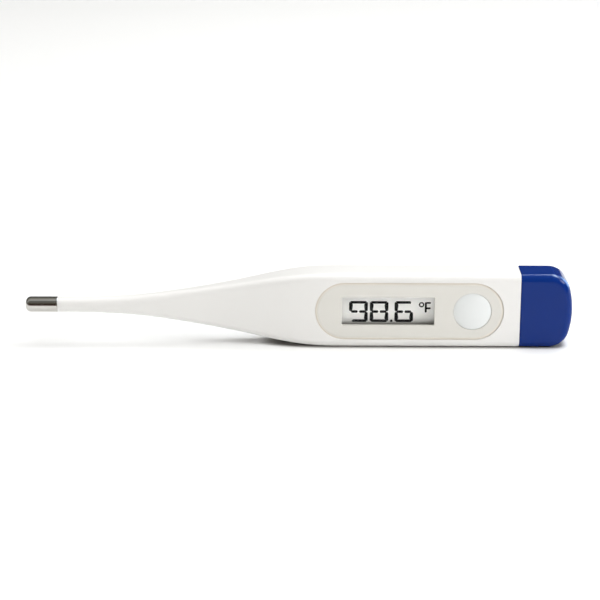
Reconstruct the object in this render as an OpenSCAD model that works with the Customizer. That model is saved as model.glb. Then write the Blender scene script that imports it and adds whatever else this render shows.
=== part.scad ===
// Digital clinical thermometer, rigid stick type.
// Millimetres. +X runs from the probe tip to the battery cap, the display
// faces -Y, and the stick stands on its lower long edge at Z = 0.

/* [Overall] */
// Length from the probe tip to the end of the battery cap
len_total = 126; // [124:0.1:128]
// Width of the stick (its height when it stands on its edge)
body_w = 17.5; // [17.3:0.1:18.5]
// Thickness of the stick, without the button
body_t = 9.5; // [9.4:0.1:10.5]
// Radius of the four long edges
edge_r = 1.65; // [1.4:0.05:1.8]

/* [Probe] */
// Diameter of the moulded stem
stem_d = 3.6; // [3.4:0.05:3.8]
// Diameter of the steel tip
tip_d = 3.6; // [3.3:0.05:3.7]
// Length of the steel tip that shows
tip_len = 7.4; // [6.5:0.1:8]
// Radius of the rounded end of the steel tip
tip_nose = 1.3; // [1:0.05:1.5]

/* [Face] */
// Length of the inset face panel
panel_len = 43.3; // [42:0.1:43.6]
// Height of the inset face panel
panel_h = 13.6; // [12.8:0.1:13.8]
// Length of the display window
window_len = 21.3; // [20:0.1:22]
// Height of the display window
window_h = 6.8; // [6:0.1:7]
// Diameter of the round power button
button_d = 8.66; // [8:0.02:9]
// How far the button's crown stands out past the housing
button_proud = 0.45; // [0.3:0.05:0.7]

/* [Motion] */
// Travel of the power button
button_travel = 0.3; // [0.2:0.05:0.3]
// How far the inner tray pulls out of the housing
tray_travel = 10; // [6:0.5:10]

/* [Battery end] */
// Length of the battery cap that shows
cap_len = 12.1; // [11.6:0.1:12.2]
// Diameter of the button cell
cell_d = 7.9; // [7.9:0.1:7.9]
// Thickness of the button cell
cell_t = 3.6; // [3.6:0.1:3.6]

/* [Hidden] */
$fn = 48;
eps = 0.01;

// Stations along the stick, measured from the probe tip.
seam = len_total - cap_len;
loft_a = 16;
loft_b = 72;
panel_c = 88.45;
window_c = 83.55;
window_z = 0.0;
button_c = 102.9;
cell_c = 116;

// Depths, measured from the middle of the thickness; the front is negative.
front = -body_t / 2;
panel_f = front + 0.08;
panel_b = front + 0.9;
cav_y = 3.35;
cav_z = 7.45;
board_f = -0.9;
board_b = -0.3;
glass_f = -2.6;

// Outline of the stick: its width at each station, evened out by averaging.
function w_raw(u) = lookup(u, [[0, stem_d], [15, stem_d], [20, 4.0], [26, 4.75],
  [31, 5.9], [36, 7.3], [41, 8.8], [46, 10.5], [51, 12.3], [56, 14.3],
  [60, 15.75], [64, 16.8], [68, 17.4], [72, 17.5], [200, 17.5]]);
function w_even(u) = (w_raw(u - 1.6) + 2 * w_raw(u - 0.8) + 2 * w_raw(u)
  + 2 * w_raw(u + 0.8) + w_raw(u + 1.6)) / 8;
function grow(u) = (w_even(u) - stem_d) / (17.5 - stem_d);
function w_at(u) = stem_d + (body_w - stem_d) * grow(u);
function t_at(u) = stem_d + (body_t - stem_d) * pow(max(grow(u), 0), 1.6);
function r_at(u) = stem_d / 2 + (edge_r - stem_d / 2) * min(1, 2.5 * grow(u));

// One ring of a rounded rectangle in the YZ plane, n points to each corner.
function ring(u, w, t, r, n) = [for (q = [0:3], k = [0:n - 1])
  let (a = 90 * q + 90 * k / (n - 1),
       cy = (q == 0 || q == 3 ? 1 : -1) * (t / 2 - r),
       cz = (q < 2 ? 1 : -1) * (w / 2 - r))
  [u, cy + r * cos(a), cz + r * sin(a)]];

// Skin through a list of rings, with flat ends.
module skin(rings) {
  m = len(rings[0]);
  n = len(rings);
  polyhedron(points = [for (g = rings) each g],
    faces = concat(
      [[for (k = [0:m - 1]) k]],
      [for (i = [0:n - 2], k = [0:m - 1])
        [i * m + k, (i + 1) * m + k, (i + 1) * m + (k + 1) % m, i * m + (k + 1) % m]],
      [[for (k = [m - 1:-1:0]) (n - 1) * m + k]]));
}

// Rounded rectangle in the YZ plane, pushed along +X from station u.
module bar(u, length, w, t, r) {
  translate([u, 0, 0]) rotate([90, 0, 90]) linear_extrude(length) union() {
    square([t - 2 * r, w], center = true);
    square([t, w - 2 * r], center = true);
    for (a = [-1, 1], b = [-1, 1]) translate([a * (t / 2 - r), b * (w / 2 - r)]) circle(r);
  }
}

// Box from one corner to the other.
module block(a, b) { translate(a) cube(b - a); }

// Cylinder along +X, and cylinder along +Y.
module xcyl(u, length, r) { translate([u, 0, 0]) rotate([0, 90, 0]) cylinder(h = length, r = r); }
module ycyl(u, z, y0, y1, r) { translate([u, y0, z]) rotate([-90, 0, 0]) cylinder(h = y1 - y0, r = r); }

// Shape with round ends in the XZ plane, from depth y0 to y1.
module slot_plate(c, length, h, y0, y1) {
  block([c - length / 2 + h / 2, y0, -h / 2], [c + length / 2 - h / 2, y1, h / 2]);
  for (s = [-1, 1]) ycyl(c + s * (length - h) / 2, 0, y0, y1, h / 2);
}

// The row frame: origin at the middle of the footprint, on the lower edge.
module place() { translate([-len_total / 2, button_proud / 2, body_w / 2]) children(); }

// ---- housing and probe ----

module housing() color([0.93, 0.93, 0.91]) place() difference() {
  union() {
    xcyl(4.6, tip_len - 4.6 + eps, 1.5);
    xcyl(tip_len, loft_a - tip_len, stem_d / 2);
    skin([for (i = [0:28]) let (u = loft_a + (loft_b - loft_a) * i / 28)
      ring(u, w_at(u), t_at(u), r_at(u), 9)]);
    bar(loft_b, seam - loft_b, body_w, body_t, edge_r);
  }
  // wire channel, cavity and the wider mouth that takes the cap
  xcyl(4, 30, 0.9);
  skin([for (i = [0:9]) let (u = 30 + 34.01 * i / 9)
    ring(u, w_at(u) - 2.6, t_at(u) - 2.6, 0.45 + 0.05 * i, 5)]);
  bar(64, seam - 64 + 1, 2 * cav_z, 2 * cav_y, 0.8);
  bar(seam - 3.2, 5, 16, 8, 1);
  bar(seam - 0.6, 2, 16.6, 8.6, 1.2);
  // face panel recess, display pocket, button flange pocket
  slot_plate(panel_c, panel_len + 0.1, panel_h + 0.1, front - 1, panel_b);
  block([window_c - 11.75, panel_b - 1, window_z - 4.35], [window_c + 11.75, 0, window_z + 4.35]);
  ycyl(button_c, 0, panel_b - 1, 0, 5.25);
}

// Half outline of the tip: a nose with a rounded corner of radius r.
module tip_outline(radius, start, end, nose) {
  translate([0, start + nose]) square([radius, end - start - nose]);
  translate([0, start]) square([radius - nose, end - start]);
  intersection() {
    translate([radius - nose, start + nose]) circle(nose);
    translate([0, start]) square([radius, nose]);
  }
}
module probe_tip() color([0.72, 0.72, 0.73]) place()
  rotate([0, 90, 0]) rotate_extrude() difference() {
    tip_outline(tip_d / 2, 0, tip_len, tip_nose);
    tip_outline(1.5, 0.25, tip_len + 1, tip_nose - 0.25);
  }

module bead_shape() rotate([0, 90, 0]) rotate_extrude() tip_outline(0.62, 1.0, 2.2, 0.4);
module tip_potting() color([0.25, 0.22, 0.2]) place() difference() {
  rotate([0, 90, 0]) rotate_extrude() tip_outline(1.5, 0.25, 4.6, tip_nose - 0.25);
  bead_shape();
  for (s = [-1, 1]) translate([0, 0, 0.3 * s]) xcyl(2, 4, 0.13);
}

module thermistor_bead() color([0.1, 0.1, 0.1]) place() bead_shape();

// Path of the lead pair: up the stem, a slack fold, then onto the board.
// Each point also says how far the two leads stand apart in Y and in Z.
lead_r = 0.13;
lead_pts = [[2.2, 0, 0, 0, 0.3], [10, 0, 0, 0, 0.3], [20, 0, 0, 0, 0.3], [30, 0, 0, 0, 0.3],
  [40, 0, 0, 0, 0.3], [46, 0, 0, 0.1, 0.25], [50, 0, 0.6, 0.2, 0], [53, 0, 2.6, 0.2, 0],
  [55.4, 0, 4.8, 0.2, 0], [57.8, 0, 5.4, 0.2, 0], [59.3, 0, 4, 0.2, 0], [59.6, 0, 1.2, 0.2, 0],
  [59.6, 0, -1.8, 0.2, 0], [60, 0, -4.4, 0.2, 0], [61.4, -0.2, -5.5, 0.2, 0.1],
  [63.2, -0.8, -5.4, 0.1, 0.3], [65, -1.3, -4.8, 0, 0.4], [66.6, -1.07, -4, 0, 0.4],
  [68.6, -1.03, -4, 0, 0.4]];
function bez(p, i, f) =
  let (n = len(p) - 1, a = p[max(i - 1, 0)], b = p[i], c = p[min(i + 1, n)], d = p[min(i + 2, n)])
  0.5 * (2 * b + (c - a) * f + (2 * a - 5 * b + 4 * c - d) * f * f + (3 * b - a - 3 * c + d) * f * f * f);
function unit(v) = v / norm(v);
module lead(s) {
  p = [for (q = lead_pts) [q[0], q[1] + s * q[3], q[2] + s * q[4]]];
  n = len(p) - 1;
  c = concat([p[0], p[1], p[2], p[3], p[4]], [for (i = [5:n - 1], f = [0, 0.5]) bez(p, i, f)], [p[n]]);
  m = len(c);
  t = [for (i = [0:m - 1]) unit(c[min(i + 1, m - 1)] - c[max(i - 1, 0)])];
  skin([for (i = [0:m - 1])
    let (s = unit([t[i][2], 0, -t[i][0]]), b = cross(t[i], s))
    [for (k = [0:7]) c[i] + lead_r * (cos(45 * k) * s + sin(45 * k) * b)]]);
}
module thermistor_leads() color([0.7, 0.25, 0.12]) place() { lead(1); lead(-1); }

// ---- face ----

module face_panel() color([0.885, 0.875, 0.85]) place() difference() {
  slot_plate(panel_c, panel_len, panel_h, panel_f, panel_b);
  block([window_c - window_len / 2, front - 1, window_z - window_h / 2],
        [window_c + window_len / 2, 0, window_z + window_h / 2]);
  ycyl(button_c, 0, front - 1, 0, button_d / 2 + 0.06);
}

module display_window() color([0.85, 0.9, 0.92, 0.35]) place()
  block([window_c - 11.7, panel_b, window_z - 4.3], [window_c + 11.7, panel_b + 0.5, window_z + 4.3]);

// Shallow crown, straight skirt, retaining flange and a short nib.
module power_button() color([0.93, 0.94, 0.94]) place()
  translate([button_c, 0, 0]) rotate([90, 0, 0]) rotate_extrude() {
    h = 0.75;
    r = button_d / 2;
    big = (r * r + h * h) / (2 * h);
    crown = -front + button_proud;
    intersection() {
      translate([0, crown - big]) circle(big, $fn = 180);
      translate([0, -panel_b - 0.3]) square([r, 3]);
    }
    translate([0, -panel_b - 0.5]) square([5.1, 0.5]);
    translate([0, 3.13]) square([1.2, 0.5]);
  }

// ---- inner tray and electronics ----

module inner_tray() color([0.82, 0.83, 0.82]) place() difference() {
  intersection() {
    bar(60, 70, 14.6, 6.5, 0.85);
    union() {
    // floor, rails under the board, side walls, front wall
    block([64.6, 2.6, -7.3], [110.4, 3.25, 7.3]);
    for (s = [-1, 1]) {
      block([64.6, board_b, s > 0 ? 5.9 : -7.3], [110.4, 2.7, s > 0 ? 7.3 : -5.9]);
      block([64.6, -1.6, s > 0 ? 6.6 : -7.3], [110.4, 0, s > 0 ? 7.3 : -6.6]);
    }
    block([64.6, board_b, -6], [65.4, 2.7, 6]);
    // ring that the buzzer sits on
    ycyl(84, 0, 2.2, 2.7, 5.9);
    // battery chamber, open at its rear end
    block([109.8, board_b, -7], [111.6, 3.05, 7]);
    block([111, -2.2, -7], [121.2, 3.05, 7]);
    }
  }
  ycyl(84, 0, 1, 3, 5.2);
  ycyl(cell_c, 0, -3, 1.95, cell_d / 2 + 0.05);
  block([cell_c, -3, -cell_d / 2 - 0.05], [130, 1.95, cell_d / 2 + 0.05]);
  // slots for the two contact strips, and an opening for the sound
  block([109, -3, -1.6], [113, board_b + 0.001, 1.6]);
  block([105, -0.2, -1.6], [113, 1.95, 1.6]);
  ycyl(84, 0, 2, 4, 0.6);
}

module circuit_board() color([0.1, 0.4, 0.22]) place() difference() {
  block([65.6, board_f, -6.5], [109.6, board_b, 6.5]);
  for (x = [70.3, 96.7], s = [-1, 1]) ycyl(x, s * 5.2, -2, 1, 0.55);
}

module chip_encapsulant() color([0.06, 0.06, 0.06]) place()
  translate([90.5 + 0, board_b, 0]) rotate([-90, 0, 0]) rotate_extrude() intersection() {
    translate([0, -4.6]) circle(5.5, $fn = 120);
    square([4, 2]);
  }

module chip_components() color([0.55, 0.45, 0.32]) place() {
  for (x = [69, 71.2, 73.4]) block([x, board_b, -3.6], [x + 1.6, board_b + 0.5, -2.8]);
  for (x = [69, 72]) block([x, board_b, 2.4], [x + 2, board_b + 0.7, 3.65]);
  for (z = [-4.9, 3.9]) block([98.6, board_f - 0.45, z], [99.4, board_f, z + 1.2]);
}

module switch_base() color([0.12, 0.12, 0.13]) place() difference() {
  block([button_c - 2.6, -2.4, -2.6], [button_c + 2.6, board_f, 2.6]);
  ycyl(button_c, 0, -2.0, -1.1, 2.1);
  ycyl(button_c, 0, -3, -1.5, 1.25);
}

module switch_snap_dome() color([0.78, 0.76, 0.7]) place()
  translate([button_c, -1.1, 0]) rotate([90, 0, 0]) rotate_extrude() difference() {
    intersection() {
      translate([0, -4.05]) circle(4.5, $fn = 120);
      square([1.95, 1]);
    }
    translate([0, -4.05]) circle(4.42, $fn = 120);
  }

module switch_plunger() color([0.85, 0.3, 0.2]) place() {
  ycyl(button_c, 0, -3.1, -1.9, 1.2);
  ycyl(button_c, 0, -1.98, -1.56, 1.7);
}

module lcd_frame() color([0.9, 0.9, 0.88]) place() {
  difference() {
    block([69.6, -2.78, -6.35], [97.4, board_f, 6.35]);
    block([70.8, -4, -6.0], [96.2, -1.4, 5.1]);
    block([72, -4, -5.8], [95, 0, -4.8]);
    block([74, -4, -3.6], [93, 0, 3.6]);
  }
  for (x = [70.3, 96.7], s = [-1, 1]) ycyl(x, s * 5.2, board_f - 0.2, board_b + 0.4, 0.5);
}

module lcd_front_glass() color([0.8, 0.85, 0.85, 0.4]) place()
  block([70.9, glass_f, -5.9], [96.1, glass_f + 0.5, 5.0]);
module lcd_rear_glass() color([0.78, 0.84, 0.84, 0.4]) place()
  block([70.9, glass_f + 0.5, -4.6], [96.1, glass_f + 1, 5.0]);
module lcd_front_polarizer() color([0.72, 0.74, 0.72, 0.5]) place()
  block([71.6, glass_f - 0.12, -4.4], [95.4, glass_f, 4.8]);
module lcd_rear_reflector() color([0.8, 0.81, 0.79]) place()
  block([71.6, glass_f + 1, -4.4], [95.4, glass_f + 1.2, 4.8]);
module zebra_connector() color([0.2, 0.2, 0.22]) place()
  block([72.2, glass_f + 0.5, -5.7], [94.8, board_f, -4.9]);

module buzzer_plate() color([0.83, 0.67, 0.3]) place() ycyl(84, 0, 2.0, 2.2, 5.8);
module buzzer_ceramic() color([0.88, 0.86, 0.8]) place() ycyl(84, 0, 1.84, 2.0, 4.4);
// Two bent strips from the board's back to the ceramic and to the plate.
module bent_strip(u, tip_y, z) {
  translate([u, 0, z - 0.4]) linear_extrude(0.8)
    polygon([[0, board_b], [2, board_b], [2, board_b + 0.15], [0.35, board_b + 0.15],
      [1.9, tip_y - 0.2], [2.6, tip_y - 0.2], [2.6, tip_y], [1.8, tip_y], [0, board_b + 0.2]]);
}
module buzzer_contacts() color([0.8, 0.65, 0.35]) place() {
  bent_strip(83, 1.84, 1);
  bent_strip(83, 2.0, 5.0);
}

// ---- battery and its contacts ----

module positive_contact() color([0.82, 0.8, 0.74]) place() {
  block([106.6, board_f - 0.2, -1.2], [110.2, board_f, 1.2]);
  block([110, -2.1, -1.2], [110.2, board_f, 1.2]);
  block([110, -2.1, -1.2], [117.5, -1.9, 1.2]);
}
module negative_contact() color([0.82, 0.8, 0.74]) place() {
  block([106.6, board_b, -1.2], [109.0, board_b + 0.2, 1.2]);
  block([108.8, board_b, -1.2], [109.0, 1.9, 1.2]);
  block([108.8, 1.7, -1.2], [117.5, 1.9, 1.2]);
}

// Can face to the front, negative cap to the back, gasket between them.
module cell_can() color([0.78, 0.78, 0.77]) place() difference() {
  ycyl(cell_c, 0, -1.9, 1.5, cell_d / 2);
  ycyl(cell_c, 0, -1.65, 2, 3.7);
}
module cell_gasket() color([0.15, 0.3, 0.6]) place() difference() {
  ycyl(cell_c, 0, -1.65, 1.5, 3.7);
  ycyl(cell_c, 0, -1.65 - eps, 2, 3.4);
}
module cell_negative_cap() color([0.8, 0.8, 0.79]) place() union() {
  ycyl(cell_c, 0, -1.65, 1.5, 3.4);
  ycyl(cell_c, 0, 1.4, 1.7, 3.1);
}

module cap_seal() color([0.3, 0.3, 0.32]) place() difference() {
  bar(seam - 0.55, 0.55, 16.5, 8.5, 1.15);
  bar(seam - 1, 2, 15.9, 7.9, 0.95);
}

// Outline of the cap seen from the front, drawn in by d for its rounded rim.
cap_r = 4.7;
cap_bulge = 20;
function cap_outline(d) =
  let (zc = body_w / 2 - cap_r,
       xe = len_total - cap_bulge,
       xc = xe + sqrt(pow(cap_bulge - cap_r, 2) - zc * zc),
       a = atan2(zc, xc - xe))
  concat(
    [[seam, -body_w / 2 + d]],
    [for (k = [0:8]) let (t = -90 + (90 - a) * k / 8) [xc + (cap_r - d) * cos(t), -zc + (cap_r - d) * sin(t)]],
    [for (k = [1:9]) let (t = -a + 2 * a * k / 10) [xe + (cap_bulge - d) * cos(t), (cap_bulge - d) * sin(t)]],
    [for (k = [0:8]) let (t = a + (90 - a) * k / 8) [xc + (cap_r - d) * cos(t), zc + (cap_r - d) * sin(t)]],
    [[seam, body_w / 2 - d]]);
module cap_shell() {
  rows = concat([for (k = [0:6]) [90 * k / 6, -1]], [for (k = [6:-1:0]) [90 * k / 6, 1]]);
  rings = [for (q = rows)
    let (d = edge_r * (1 - sin(q[0])), y = q[1] * (body_t / 2 - edge_r + edge_r * cos(q[0])))
    [for (p = cap_outline(d)) [p[0], y, p[1]]]];
  mirror([0, 1, 0]) skin([for (k = [len(rings) - 1:-1:0]) rings[k]]);
}

module battery_cap() color([0.1, 0.19, 0.46]) place() difference() {
  union() {
    cap_shell();
    bar(seam - 3.1, 3.2, 15.9, 7.9, 0.95);
  }
  difference() {
    bar(seam - 5, 13.9, 14.6, 6.6, 0.8);
    // rib that keeps the cell in its chamber
    block([120.3, -3.4, -1.5], [124, 1.8, 1.5]);
  }
}

housing();
probe_tip();
tip_potting();
thermistor_bead();
thermistor_leads();
face_panel();
display_window();
power_button();
inner_tray();
circuit_board();
chip_encapsulant();
chip_components();
switch_base();
switch_snap_dome();
switch_plunger();
lcd_frame();
lcd_front_glass();
lcd_rear_glass();
lcd_front_polarizer();
lcd_rear_reflector();
zebra_connector();
buzzer_plate();
buzzer_ceramic();
buzzer_contacts();
positive_contact();
negative_contact();
cell_can();
cell_gasket();
cell_negative_cap();
cap_seal();
battery_cap();
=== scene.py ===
import math

import bmesh
import bpy
import numpy as np
from mathutils import Matrix, Vector


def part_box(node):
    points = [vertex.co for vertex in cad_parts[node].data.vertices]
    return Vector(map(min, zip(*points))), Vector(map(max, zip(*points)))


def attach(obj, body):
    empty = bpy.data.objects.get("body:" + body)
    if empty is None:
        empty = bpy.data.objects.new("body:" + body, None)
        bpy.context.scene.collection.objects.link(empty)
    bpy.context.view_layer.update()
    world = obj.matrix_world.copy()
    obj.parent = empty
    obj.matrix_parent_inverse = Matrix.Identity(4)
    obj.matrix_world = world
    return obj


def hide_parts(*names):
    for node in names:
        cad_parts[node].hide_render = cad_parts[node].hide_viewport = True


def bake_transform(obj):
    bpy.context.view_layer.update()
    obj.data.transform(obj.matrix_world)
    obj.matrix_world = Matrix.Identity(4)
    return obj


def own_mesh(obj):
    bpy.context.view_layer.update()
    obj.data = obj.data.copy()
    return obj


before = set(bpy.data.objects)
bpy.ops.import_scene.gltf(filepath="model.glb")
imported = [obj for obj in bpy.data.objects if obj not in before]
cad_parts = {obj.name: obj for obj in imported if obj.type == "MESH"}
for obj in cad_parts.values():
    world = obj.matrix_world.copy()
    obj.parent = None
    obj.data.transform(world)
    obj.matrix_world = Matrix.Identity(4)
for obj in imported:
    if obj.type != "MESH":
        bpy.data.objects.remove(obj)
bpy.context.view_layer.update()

# ------------------------------------------------------------------ frame
# Stations run along the stick from the probe tip; y and z are from the middle
# of the housing's section, all in millimetres.
MM = 0.001
_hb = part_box("housing")
_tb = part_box("probe_tip")
_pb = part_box("face_panel")
_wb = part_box("display_window")
_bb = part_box("power_button")
_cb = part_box("battery_cap")
_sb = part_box("cap_seal")
X0 = _tb[0].x
YC = (_hb[0].y + _hb[1].y) / 2
ZC = (_hb[0].z + _hb[1].z) / 2
BODY_T = (_hb[1].y - _hb[0].y) / MM
BODY_W = (_hb[1].z - _hb[0].z) / MM
LEN = (_cb[1].x - X0) / MM
SEAM = (_sb[1].x - X0) / MM
TIP_LEN = (_tb[1].x - X0) / MM
STEM_D = (_tb[1].z - _tb[0].z) / MM
PANEL_C = ((_pb[0].x + _pb[1].x) / 2 - X0) / MM
PANEL_L = (_pb[1].x - _pb[0].x) / MM
PANEL_H = (_pb[1].z - _pb[0].z) / MM
BUTTON_C = ((_bb[0].x + _bb[1].x) / 2 - X0) / MM
BUTTON_TOP = (_bb[0].y - YC) / MM
WINDOW_C = ((_wb[0].x + _wb[1].x) / 2 - X0) / MM
WINDOW_Z = ((_wb[0].z + _wb[1].z) / 2 - ZC) / MM
WINDOW_L, WINDOW_H = 21.3, 6.8
FRONT = -BODY_T / 2
PANEL_F, PANEL_B = (_pb[0].y - YC) / MM, (_pb[1].y - YC) / MM
EDGE_R = 1.65


def P(u, y, z):
    return Vector((X0 + u * MM, YC + y * MM, ZC + z * MM))


# ----------------------------------------------------------------- camera
AZ, EL, ROLL, DIST, F_PX = -0.461, 17.59, 0.344, 500.0, 2164.2
a, e = math.radians(AZ), math.radians(EL)
back = Vector((math.sin(a) * math.cos(e), -math.cos(a) * math.cos(e), math.sin(e)))
target = Vector((X0 + 63.358 * MM, 0, 10.037 * MM))
cam_data = bpy.data.cameras.new("camera")
cam = bpy.data.objects.new("camera", cam_data)
bpy.context.scene.collection.objects.link(cam)
cam_data.sensor_width = 36.0
cam_data.lens = F_PX / 600 * 36.0
cam_data.clip_start, cam_data.clip_end = 0.02, 20.0
right = Vector((0, 0, 1)).cross(back).normalized()
up = back.cross(right)
r_ = math.radians(ROLL)
r2 = right * math.cos(r_) + up * math.sin(r_)
u2 = up * math.cos(r_) - right * math.sin(r_)
cam.matrix_world = Matrix((
    (r2.x, u2.x, back.x, target.x + back.x * DIST * MM),
    (r2.y, u2.y, back.y, target.y + back.y * DIST * MM),
    (r2.z, u2.z, back.z, target.z + back.z * DIST * MM),
    (0, 0, 0, 1)))
bpy.context.scene.camera = cam


# -------------------------------------------------------------- materials
def lin(*c):
    return tuple((x / 255 / 12.92) if x <= 10.3 else ((x / 255 + 0.055) / 1.055) ** 2.4 for x in c)


class Mat:
    """A Principled material with a small node graph built up step by step."""

    def __init__(self, name):
        self.m = bpy.data.materials.new(name)
        self.m.use_nodes = True
        self.nt = self.m.node_tree
        self.nt.nodes.clear()
        self.out = self.nt.nodes.new("ShaderNodeOutputMaterial")
        self.b = self.nt.nodes.new("ShaderNodeBsdfPrincipled")
        self.nt.links.new(self.b.outputs[0], self.out.inputs[0])
        self.tc = self.nt.nodes.new("ShaderNodeTexCoord")

    def node(self, kind, **inputs):
        n = self.nt.nodes.new(kind)
        for k, v in inputs.items():
            n.inputs[k.replace("_", " ")].default_value = v
        return n

    def link(self, a, b):
        self.nt.links.new(a, b)

    def coords(self, scale=(1, 1, 1), rot=(0, 0, 0)):
        m = self.nt.nodes.new("ShaderNodeMapping")
        m.inputs["Scale"].default_value = scale
        m.inputs["Rotation"].default_value = rot
        self.link(self.tc.outputs["Object"], m.inputs["Vector"])
        return m.outputs["Vector"]

    def noise(self, size_mm, detail=2.0, rough=0.5, stretch=(1, 1, 1), rot=(0, 0, 0)):
        """Noise whose features are about size_mm across."""
        n = self.nt.nodes.new("ShaderNodeTexNoise")
        n.inputs["Scale"].default_value = 1.0
        n.inputs["Detail"].default_value = detail
        n.inputs["Roughness"].default_value = rough
        k = 1.0 / (size_mm * MM)
        self.link(self.coords((k * stretch[0], k * stretch[1], k * stretch[2]), rot), n.inputs["Vector"])
        return n.outputs["Fac"]

    def ramp(self, fac, stops):
        r = self.nt.nodes.new("ShaderNodeValToRGB")
        el = r.color_ramp.elements
        while len(el) > 1:
            el.remove(el[-1])
        el[0].position, el[0].color = stops[0][0], self.rgba(stops[0][1])
        for p, c in stops[1:]:
            q = el.new(p)
            q.color = self.rgba(c)
        self.link(fac, r.inputs["Fac"])
        return r.outputs["Color"]

    @staticmethod
    def rgba(c):
        if isinstance(c, (int, float)):
            return (c, c, c, 1)
        return (*c[:3], 1)

    def math(self, op, a, b=None, c=None, clamp=False):
        n = self.nt.nodes.new("ShaderNodeMath")
        n.operation = op
        n.use_clamp = clamp
        for i, v in enumerate((a, b, c)):
            if v is None:
                continue
            if isinstance(v, (int, float)):
                n.inputs[i].default_value = v
            else:
                self.link(v, n.inputs[i])
        return n.outputs[0]

    def mix(self, fac, a, b, mode="MIX"):
        n = self.nt.nodes.new("ShaderNodeMix")
        n.data_type = "RGBA"
        n.blend_type = mode
        for sock, v in ((n.inputs["Factor"], fac), (n.inputs[6], a), (n.inputs[7], b)):
            if isinstance(v, (int, float)) and sock.type == "VALUE":
                sock.default_value = v
            elif isinstance(v, (int, float)):
                sock.default_value = (v, v, v, 1)
            elif isinstance(v, tuple):
                sock.default_value = (*v[:3], 1)
            else:
                self.link(v, sock)
        return n.outputs[2]

    def bump(self, height, depth_mm, strength=1.0, under=None):
        n = self.nt.nodes.new("ShaderNodeBump")
        n.inputs["Strength"].default_value = strength
        n.inputs["Distance"].default_value = depth_mm * MM
        self.link(height, n.inputs["Height"])
        if under is not None:
            self.link(under, n.inputs["Normal"])
        return n.outputs["Normal"]

    def put(self, socket, v):
        s = self.b.inputs[socket]
        if isinstance(v, (int, float)):
            s.default_value = v
        elif isinstance(v, tuple):
            s.default_value = (*v[:3], 1) if len(s.default_value) == 4 else v
        else:
            self.link(v, s)
        return self


def plastic(name, rgb, rough=0.3, peel=0.0006, peel_mm=0.55, fine=0.0004, fine_mm=0.06, coat=0.0,
            vary=0.02, scratch=0.0, spec=0.5, sss=0.0, wear=0.0, edge_mm=0.0):
    """Moulded plastic: faint flow mottling, orange peel, fine grain and hairline scratches."""
    m = Mat(name)
    big = m.noise(9.0, 3, 0.55, stretch=(0.35, 1, 1))
    mid = m.noise(peel_mm, 2, 0.5)
    small = m.noise(fine_mm, 2, 0.6)
    hair = m.noise(0.09, 1.5, 0.5, stretch=(0.03, 1, 1.4), rot=(0, 0.18, 0.1))
    dark = tuple(c * (1 - vary) for c in rgb)
    light = tuple(min(1, c * (1 + vary)) for c in rgb)
    col = m.mix(m.ramp(big, [(0.3, 0.0), (0.7, 1.0)]), dark, light)
    if wear:
        geo = m.nt.nodes.new("ShaderNodeNewGeometry")
        edge = m.ramp(geo.outputs["Pointiness"], [(0.5, 0.0), (0.62, 1.0)])
        col = m.mix(m.math("MULTIPLY", edge, wear), col, tuple(min(1, c * 1.3 + 0.03) for c in rgb))
    m.put("Base Color", col)
    r = m.math("MULTIPLY_ADD", big, 0.10, rough - 0.05)
    r = m.math("MULTIPLY_ADD", small, 0.06, m.math("SUBTRACT", r, 0.03))
    if scratch:
        h = m.ramp(hair, [(0.66, 0.0), (0.72, 1.0)])
        r = m.math("MULTIPLY_ADD", h, scratch, r)
    m.put("Roughness", m.math("MAXIMUM", r, 0.03))
    soft_edge = None
    if edge_mm:
        nb = m.nt.nodes.new("ShaderNodeBevel")
        nb.samples = 6
        nb.inputs["Radius"].default_value = edge_mm * MM
        soft_edge = nb.outputs["Normal"]
    n = m.bump(mid, peel, under=soft_edge)
    n = m.bump(small, fine, under=n)
    if scratch:
        n = m.bump(h, -0.0008, 0.5, under=n)
    m.put("Normal", n).put("Specular IOR Level", spec)
    if coat:
        m.put("Coat Weight", coat).put("Coat Roughness", 0.04)
    if sss:
        m.put("Subsurface Weight", sss).put("Subsurface Radius", (0.9, 0.8, 0.7))
        m.b.inputs["Subsurface Scale"].default_value = 0.0012
    return m.m


def metal(name, rgb, rough=0.22, along="X", grain=0.0006, tint=0.06, aniso=0.0, spots=0.0):
    """Drawn or rolled metal with fine lengthwise grain and a little tarnish."""
    m = Mat(name)
    st = {"X": (0.02, 1, 1), "Y": (1, 0.02, 1), "Z": (1, 1, 0.02), "N": (1, 1, 1)}[along]
    lines = m.noise(0.05, 3, 0.6, stretch=st)
    cloud = m.noise(1.6, 3, 0.6)
    dark = tuple(c * (1 - tint) for c in rgb)
    col = m.mix(m.ramp(cloud, [(0.35, 0.0), (0.7, 1.0)]), dark, rgb)
    if spots:
        s = m.ramp(m.noise(0.35, 4, 0.7), [(0.62, 0.0), (0.72, 1.0)])
        col = m.mix(m.math("MULTIPLY", s, spots), col, tuple(c * 0.55 for c in rgb))
    m.put("Base Color", col).put("Metallic", 1.0)
    r = m.math("MULTIPLY_ADD", lines, 0.14, rough - 0.07)
    r = m.math("MULTIPLY_ADD", cloud, 0.06, m.math("SUBTRACT", r, 0.03))
    m.put("Roughness", m.math("MAXIMUM", r, 0.04))
    m.put("Normal", m.bump(lines, grain))
    if aniso:
        m.put("Anisotropic", aniso)
    return m.m


M = {}
M["white"] = plastic("white_abs", lin(241, 240, 238), rough=0.34, vary=0.008, scratch=0.06, sss=0.0, spec=0.45)
M["panel"] = plastic("panel_plastic", lin(226, 224, 218), rough=0.42, vary=0.012, peel=0.0004, fine=0.0008, fine_mm=0.08)


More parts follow.
